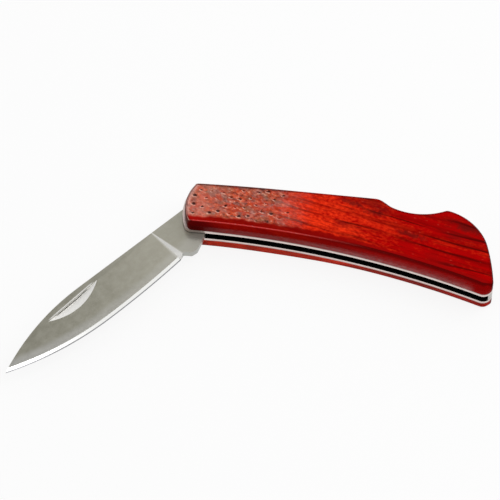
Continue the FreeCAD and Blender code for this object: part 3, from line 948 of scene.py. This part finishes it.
def face_marks(grid, belly, rear, gloss_and_shade):
    """Marks on the outer face: painted highlight along the front edge, painted shade lines, painted shade
    on the belly, worn film with painted sheen, and the painted ridge highlight.
    """
    x = grid[..., 0]
    belly_gap = gap_to(grid, grid[:, :1])
    front_gap = gap_to(grid, grid[:1])
    upper_gap = np.minimum(gap_to(grid, grid[:, -1:]), gap_to(grid, grid[-1:]))
    rim_gap = np.minimum(np.minimum(belly_gap, front_gap), upper_gap)
    at_belly = gloss_and_shade * belly[:, None]
    at_rear = rear[:, None]
    band = paired(BAND_WIDTH, soft_step(x, *BAND_FADE))
    band *= 1 + BAND_WOBBLE * np.sin(x / BAND_WAVES[0]) * np.sin(x / BAND_WAVES[1])
    film = stipple_reach(x) * soft_step(belly_gap / band, *BAND_FILM)
    # painted highlight line on the face's edge at the belly ridge
    ridge = at_belly * (1 - at_rear) * soft_step(belly_gap, RIDGE_LAND, 0)
    # painted shade line along the upper and front edges of the face
    line_gap = np.minimum(upper_gap, front_gap + SHADE_LINE_WIDTH[0] / 3)
    shade_line = paired(SHADE_LINE, soft_step(x, *SHADE_LINE_FADE)) * soft_step(line_gap, *SHADE_LINE_WIDTH)
    # painted shade line along the rear belly edge of the face
    turn_shade = at_belly * at_rear * soft_step(belly_gap, TURN_SHADE_WIDTH, 0)
    return {
        "stipple": film * soft_step(rim_gap, 0, STIPPLE_MARGIN),
        "shade": at_belly * soft_step(belly_gap / band, *BAND_SHADE),
        "film": film,
        "far_edge_light": 0 * film,
        # painted highlight along the front edge of the face
        "edge_glare": film * soft_step(front_gap, EDGE_GLARE_WIDTH, 0),
        "rim": np.maximum(shade_line, turn_shade),
        "polish": RIDGE_POLISH * ridge,
        "ridge": ridge,
    }


def grid_border(start, columns, rows):
    """Point numbers round the edge of a grid, in the order of the ring."""
    border = [i * rows for i in range(columns)]
    border += [(columns - 1) * rows + j for j in range(1, rows)]
    border += [i * rows + rows - 1 for i in range(columns - 2, -1, -1)]
    border += list(range(rows - 2, 0, -1))
    return [start + b for b in border]


def scale_faces(count, layers, columns, rows):
    """Faces of the flat foot, the rings of the rim and the grid of the outer face."""
    start = count * layers
    loops = [[k * count + i for i in range(count)] for k in range(layers)]
    loops.append(grid_border(start, columns, rows))
    faces = [loops[0][::-1]]
    for low, high in zip(loops, loops[1:]):
        for i in range(count):
            j = (i + 1) % count
            faces.append((low[i], low[j], high[j], high[i]))
    for i in range(columns - 1):
        for j in range(rows - 1):
            a = start + i * rows + j
            faces.append((a, a + rows, a + rows + 1, a + 1))
    return faces


def scale_mesh(name, node, foot, face, belly_wall, gloss_and_shade):
    """Scale with a shaped rim, a crowned belly side and a fine grid on its outer face."""
    curve = fine_outline(crisp_corner(outline_of(node, foot)))
    ring, inward, columns, rows = scale_rim(curve)
    tall = abs(face - foot)
    up = 1 if face > foot else -1
    rings, land_height, belly, rear = rim_rings(ring, inward, tall, belly_wall, gloss_and_shade)
    rim_top = drawn_in(ring, inward, rings[-1][0])
    border = drawn_in(rim_top, inward, np.full(len(ring), RIDGE_LAND))
    grid = fill(border, columns, rows)
    drop = tall - land_height[:columns, None]
    height = tall - drop * (1 - np.clip(gap_to(grid, grid[:, :1]) / CROWN_WIDTH, 0, 1)) ** 2

    layers = [np.column_stack([drawn_in(ring, inward, inset), foot + up * level])
              for inset, level, _ in rings]
    layers.append(np.column_stack([grid.reshape(-1, 2), foot + up * height.ravel()]))
    faces = scale_faces(len(ring), len(rings), columns, rows)
    if up < 0:
        faces = [f[::-1] for f in faces]
    mesh = bpy.data.meshes.new(name)
    mesh.from_pydata(np.concatenate(layers).tolist(), [], faces)
    for kind, on_face in face_marks(grid, belly[:columns], rear[:columns], gloss_and_shade).items():
        shares = [marks[kind] for _, _, marks in rings] + [on_face.ravel()]
        values = np.concatenate(shares).astype(np.float32)
        mesh.attributes.new(kind, "FLOAT", "POINT").data.foreach_set("value", values)
    mesh.update()
    return mesh


# Stipple: pits and shallow dimples pressed into the marked part of a scale

STIPPLE_INPUTS = {
    "Pit Spacing": ("NodeSocketFloat", PIT_SPACING),
    "Least Radius": ("NodeSocketFloat", PIT_RADIUS[0]),
    "Most Radius": ("NodeSocketFloat", PIT_RADIUS[1]),
    "Least Depth": ("NodeSocketFloat", PIT_DEPTH[0]),
    "Most Depth": ("NodeSocketFloat", PIT_DEPTH[1]),
    "Pit Stretch": ("NodeSocketFloat", PIT_STRETCH),
    "Pit Wobble": ("NodeSocketFloat", PIT_WOBBLE),
    "Dimple Size": ("NodeSocketFloat", DIMPLE_SIZE),
    "Dimple Depth": ("NodeSocketFloat", DIMPLE_DEPTH),
    "Press Way": ("NodeSocketVector", (0, 0, -1)),
    "Seed": ("NodeSocketInt", NEAR_PITS_SEED),
    "Wood": ("NodeSocketMaterial", None),
}


def pit_press(tree, given, mask, here):
    """Share and depth of the nearest pit at each point, and the painted highlight on its lower side."""
    spots = put(tree, "GeometryNodeDistributePointsOnFaces", {
        "Mesh": given["Geometry"], "Distance Min": given["Pit Spacing"], "Density Max": SPOT_DENSITY,
        "Density Factor": mask, "Seed": given["Seed"],
    }, distribute_method="POISSON").outputs["Points"]
    nearest = put(tree, "GeometryNodeSampleNearest", {"Geometry": spots}, domain="POINT")

    def at_spot(value, data_type):
        feeds = {"Geometry": spots, "Value": value, "Index": nearest}
        return put(tree, "GeometryNodeSampleIndex", feeds, data_type=data_type, domain="POINT")

    def drawn(low, high, seed):
        feeds = {2: given[low], 3: given[high], "Seed": seed}
        chance = put(tree, "FunctionNodeRandomValue", feeds, data_type="FLOAT").outputs[1]
        return at_spot(chance, "FLOAT")

    radius = drawn("Least Radius", "Most Radius", RADIUS_SEED)
    depth = drawn("Least Depth", "Most Depth", DEPTH_SEED)
    off = vector(tree, "SUBTRACT", here, at_spot(here, "FLOAT_VECTOR"))
    feeds = {"Vector": here, "Scale": PIT_WOBBLE_WAVES, "Detail": 2.0}
    wobble = put(tree, "ShaderNodeTexNoise", feeds).outputs["Color"]
    wobble = vector(tree, "SUBTRACT", wobble, (0.5, 0.5, 0.5))
    off = vector(tree, "ADD", off, scaled(tree, wobble, given["Pit Wobble"]))
    squeeze = put(tree, "ShaderNodeCombineXYZ", {0: 1.0, 1: given["Pit Stretch"], 2: 1.0})
    off = vector(tree, "MULTIPLY", off, squeeze)
    away = length(tree, off)
    share = calc(tree, "MINIMUM", calc(tree, "DIVIDE", away, radius), 1.0)
    bowl = calc(tree, "SUBTRACT", 1.0, times(tree, share, share))
    pit = times(tree, calc(tree, "POWER", bowl, PIT_BOWL), mask)
    # painted highlight on the lower side of each pit
    fall = vector(tree, "DOT_PRODUCT", off, PIT_GLINT_WAY).outputs["Value"]
    low_side = calc(tree, "GREATER_THAN", calc(tree, "DIVIDE", fall, radius), PIT_GLINT_START)
    pit_glint = calc(tree, "SUBTRACT", 1.0, times(tree, apart(tree, away, radius), PIT_GLINT_SHARPNESS))
    pit_glint = times(tree, calc(tree, "MAXIMUM", pit_glint, 0.0), low_side, mask)
    return pit, depth, pit_glint


def dimple_press(tree, given, mask, here):
    """Depth of the shallow dimples that lie side by side."""
    cells = put(tree, "ShaderNodeTexVoronoi", {
        "Vector": here, "Scale": calc(tree, "DIVIDE", 1.0, given["Dimple Size"]),
        "Smoothness": DIMPLE_SOFTNESS,
    }, feature="SMOOTH_F1").outputs["Distance"]
    hollow = calc(tree, "SUBTRACT", 1.0, times(tree, cells, cells))
    return times(tree, calc(tree, "MAXIMUM", hollow, 0.0), mask, given["Dimple Depth"])


def stipple_tree():
    tree = bpy.data.node_groups.new("stippled_wood", "GeometryNodeTree")
    tree.interface.new_socket("Geometry", in_out="INPUT", socket_type="NodeSocketGeometry")
    for name, (kind, value) in STIPPLE_INPUTS.items():
        socket = tree.interface.new_socket(name, in_out="INPUT", socket_type=kind)
        if value is not None:
            socket.default_value = value
    tree.interface.new_socket("Geometry", in_out="OUTPUT", socket_type="NodeSocketGeometry")
    given = put(tree, "NodeGroupInput").outputs
    mask = put(tree, "GeometryNodeInputNamedAttribute", {"Name": "stipple"}).outputs["Attribute"]
    here = put(tree, "GeometryNodeInputPosition")
    pit, depth, pit_glint = pit_press(tree, given, mask, here)
    sink = calc(tree, "ADD", times(tree, pit, depth), dimple_press(tree, given, mask, here))
    inward = scaled(tree, given["Press Way"], sink)
    whole = put(tree, "GeometryNodeSetPosition", {"Geometry": given["Geometry"], "Offset": inward})
    for name, value in (("pit", pit), ("pit_glint", pit_glint)):
        feeds = {"Geometry": whole, "Name": name, "Value": value}
        whole = put(tree, "GeometryNodeStoreNamedAttribute", feeds, data_type="FLOAT", domain="POINT")
    whole = put(tree, "GeometryNodeRealizeInstances", {"Geometry": whole})
    faced = put(tree, "GeometryNodeSetMaterial", {"Geometry": whole, "Material": given["Wood"]})
    put(tree, "NodeGroupOutput", {"Geometry": faced})
    return tree


def made_by_tree(name, mesh, tree, values):
    """Runs a node tree on a mesh and returns the result as a plain object."""
    blank = bpy.data.objects.new(name + "_blank", mesh)
    bpy.context.scene.collection.objects.link(blank)
    modifier = blank.modifiers.new("tree", "NODES")
    modifier.node_group = tree
    for item in tree.interface.items_tree:
        if item.in_out == "INPUT" and item.name in values:
            modifier[item.identifier] = values[item.name]
    graph = bpy.context.evaluated_depsgraph_get()
    result = bpy.data.meshes.new_from_object(blank.evaluated_get(graph), depsgraph=graph)
    bpy.data.objects.remove(blank)
    result.name = name
    piece = bpy.data.objects.new(name, result)
    bpy.context.scene.collection.objects.link(piece)
    return piece


# Pieces

def dress_scale(name, node, foot, face, belly_wall, gloss_and_shade, tree, wood, seed):
    blank = scale_mesh(name, node, foot, face, belly_wall, gloss_and_shade)
    press_way = (0.0, 0.0, -1.0 if face > foot else 1.0)
    piece = made_by_tree(name, blank, tree, {"Wood": wood, "Seed": seed, "Press Way": press_way})
    piece.data.shade_smooth()
    piece.data.set_sharp_from_angle(angle=SHARP_EDGE)
    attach(piece, "handle")
    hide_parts(node)


def finish_node(node, material):
    slots = nodes[node].data.materials
    slots.clear()
    slots.append(material)


def flexing_leaf(name, node, material):
    """Leaf of the lock, on whose free end the bar rocks, cut into short lengths."""
    low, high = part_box(node)
    leaf = bmesh.new()
    leaf.from_mesh(nodes[node].data)
    bmesh.ops.remove_doubles(leaf, verts=leaf.verts, dist=TOUCH)
    for x in np.linspace(low.x, high.x, LEAF_LENGTHS + 1)[1:-1]:
        parts = leaf.verts[:] + leaf.edges[:] + leaf.faces[:]
        bmesh.ops.bisect_plane(leaf, geom=parts, plane_co=(x, 0, 0), plane_no=(1, 0, 0), dist=TOUCH / 10)
    mesh = bpy.data.meshes.new(name)
    leaf.to_mesh(mesh)
    leaf.free()
    mesh.materials.append(material)
    piece = bpy.data.objects.new(name, mesh)
    bpy.context.scene.collection.objects.link(piece)
    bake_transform(piece)
    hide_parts(node)


wood = make_wood()
pits = stipple_tree()
front_low, front_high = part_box("front_scale")
back_low, back_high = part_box("back_scale")
dress_scale("front_scale_wood", "front_scale", front_low.z, front_high.z, BELLY_WALL, NEAR_GLOSS_AND_SHADE,
            pits, wood, NEAR_PITS_SEED)
dress_scale("back_scale_wood", "back_scale", back_high.z, back_low.z, FAR_BELLY_WALL, FAR_GLOSS_AND_SHADE,
            pits, wood, FAR_PITS_SEED)

slot_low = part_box("back_liner")[1].z
slot_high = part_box("front_liner")[0].z
liner_steel = make_liner_steel((front_low.z, back_high.z), slot_low, slot_high)
lock_steel = make_metal("drawn_lock_steel", LOCK_STEEL)
pin_steel = make_metal("turned_pin_steel", PIN_STEEL)
washer_bronze = make_metal("washer_bronze", WASHER_BRONZE)
finish_node("blade", make_blade_steel())
for node in ("front_liner", "back_liner"):
    finish_node(node, liner_steel)
for node in ("lock_bar", "back_spacer"):
    finish_node(node, lock_steel)
flexing_leaf("lock_spring_leaf", "lock_spring", make_metal("tempered_spring_steel", SPRING_STEEL))
for node in ("pivot_pin", "lock_bar_pin", "upper_spacer_rivet", "lower_spacer_rivet"):
    finish_node(node, pin_steel)
for node in ("front_pivot_washer", "back_pivot_washer"):
    finish_node(node, washer_bronze)


# Floor, light and camera

def make_floor():
    mesh = bpy.data.meshes.new("floor")
    level = cad_low.z - FLOOR_GAP
    ways = ((-1, -1), (1, -1), (1, 1), (-1, 1))
    corners = [(x * FLOOR_HALF, y * FLOOR_HALF, level) for x, y in ways]
    mesh.from_pydata(corners, [], [(0, 1, 2, 3)])
    floor = bpy.data.objects.new("floor", mesh)
    bpy.context.scene.collection.objects.link(floor)
    material, tree, shader = new_material("white_floor")
    feed(tree, shader, {"Base Color": (0.9, 0.9, 0.9, 1), "Roughness": 0.9})
    white = put(tree, "ShaderNodeEmission", {"Color": (1, 1, 1, 1), "Strength": 1.0})
    rays = put(tree, "ShaderNodeLightPath").outputs
    mirrored = calc(tree, "ADD", rays["Is Glossy Ray"], rays["Is Transmission Ray"])
    seen = calc(tree, "ADD", rays["Is Camera Ray"], mirrored)
    share = times(tree, calc(tree, "MINIMUM", seen, 1.0), FLOOR_WHITE)
    mixed = put(tree, "ShaderNodeMixShader", {0: share, 1: shader.outputs[0], 2: white})
    feed(tree, tree.nodes["Material Output"], {"Surface": mixed})
    mesh.materials.append(material)


def make_world():
    world = bpy.data.worlds.new("studio")
    bpy.context.scene.world = world
    world.use_nodes = True
    tree = world.node_tree
    way = put(tree, "ShaderNodeTexCoord").outputs["Generated"]
    side_way, front_way, rise = axes(tree, way)
    level = span(tree, rise, *SKY_RISE, *SKY_LEVEL)
    card = times(tree, span(tree, front_way, *CARD_FRONT), span(tree, side_way, *CARD_SIDE))
    strength = blend_value(tree, card, level, CARD_LEVEL)
    feed(tree, tree.nodes["Background"], {"Color": (1, 1, 1, 1), "Strength": strength})


def make_light(name, target, way, distance, width, depth, glow):
    """Soft box that faces a spot; its glow is how bright its own face looks, where 1 is white."""
    lamp = bpy.data.lights.new(name, "AREA")
    lamp.shape = "RECTANGLE"
    lamp.size = width
    lamp.size_y = depth
    lamp.energy = glow * math.pi * width * depth
    lamp_object = bpy.data.objects.new(name, lamp)
    way = Vector(way).normalized()
    lamp_object.location = Vector(target) + way * distance
    lamp_object.rotation_euler = way.to_track_quat("Z", "Y").to_euler()
    bpy.context.scene.collection.objects.link(lamp_object)


def make_camera():
    lens = bpy.data.cameras.new("view")
    lens.lens = LENS
    lens.sensor_width = SENSOR
    lens.clip_start = 0.01
    lens.clip_end = 100
    camera = bpy.data.objects.new("view", lens)
    flat = math.cos(VIEW_RISE)
    back = Vector((math.sin(VIEW_TURN) * flat, -math.cos(VIEW_TURN) * flat, math.sin(VIEW_RISE)))
    camera.location = LOOK_AT + back * VIEW_DISTANCE
    camera.rotation_euler = back.to_track_quat("Z", "Y").to_euler()
    bpy.context.scene.collection.objects.link(camera)
    bpy.context.scene.camera = camera


make_floor()
make_world()
for soft_box in SOFT_BOXES:
    make_light(*soft_box)
make_camera()
bpy.context.scene.view_settings.view_transform = "Standard"
